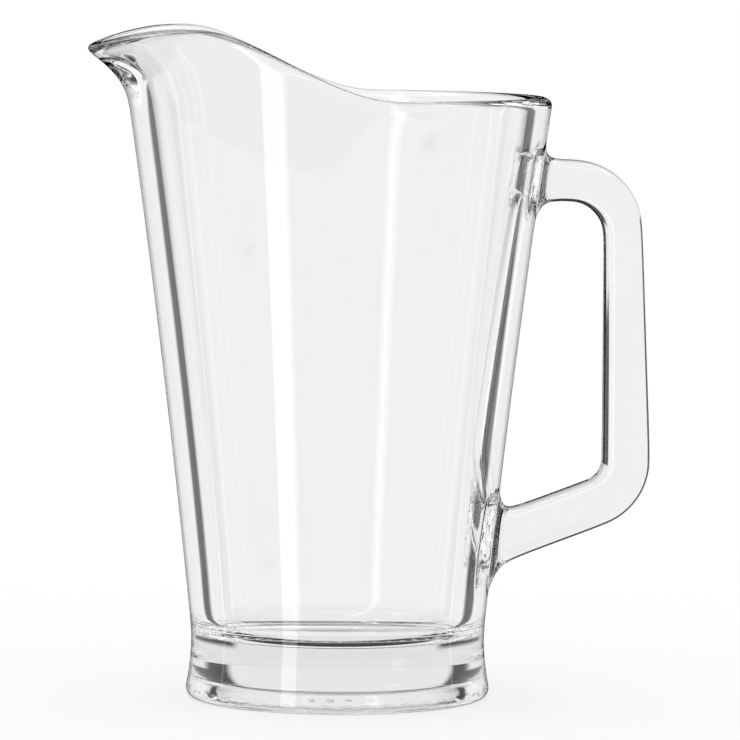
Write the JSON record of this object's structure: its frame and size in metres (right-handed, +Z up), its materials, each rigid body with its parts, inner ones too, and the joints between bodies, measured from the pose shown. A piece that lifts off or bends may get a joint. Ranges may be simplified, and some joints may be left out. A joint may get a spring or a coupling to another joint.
{
  "type": "beer pitcher",
  "caption": "Clear pressed-glass pitcher with a tapered vessel on a heavy foot, a swept-up pouring spout and an open handle, for serving beer.",
  "frame": {"origin": "centre of the standing ring, where the vessel's axis meets the table", "axes": "+Z up along the vessel's axis, +X towards the handle, -X towards the spout"},
  "size_m": [0.1947, 0.1468, 0.2312],
  "materials": {
    "glass": "clear, fire-polished"
  },
  "bodies": {
    "root": {"foot_ring": "glass", "base": "glass", "vessel_wall": "glass", "rim_band": "glass", "pouring_spout": "glass", "handle_upper_arm": "glass", "handle_grip": "glass", "handle_lower_arm": "glass"}
  },
  "joints": []
}
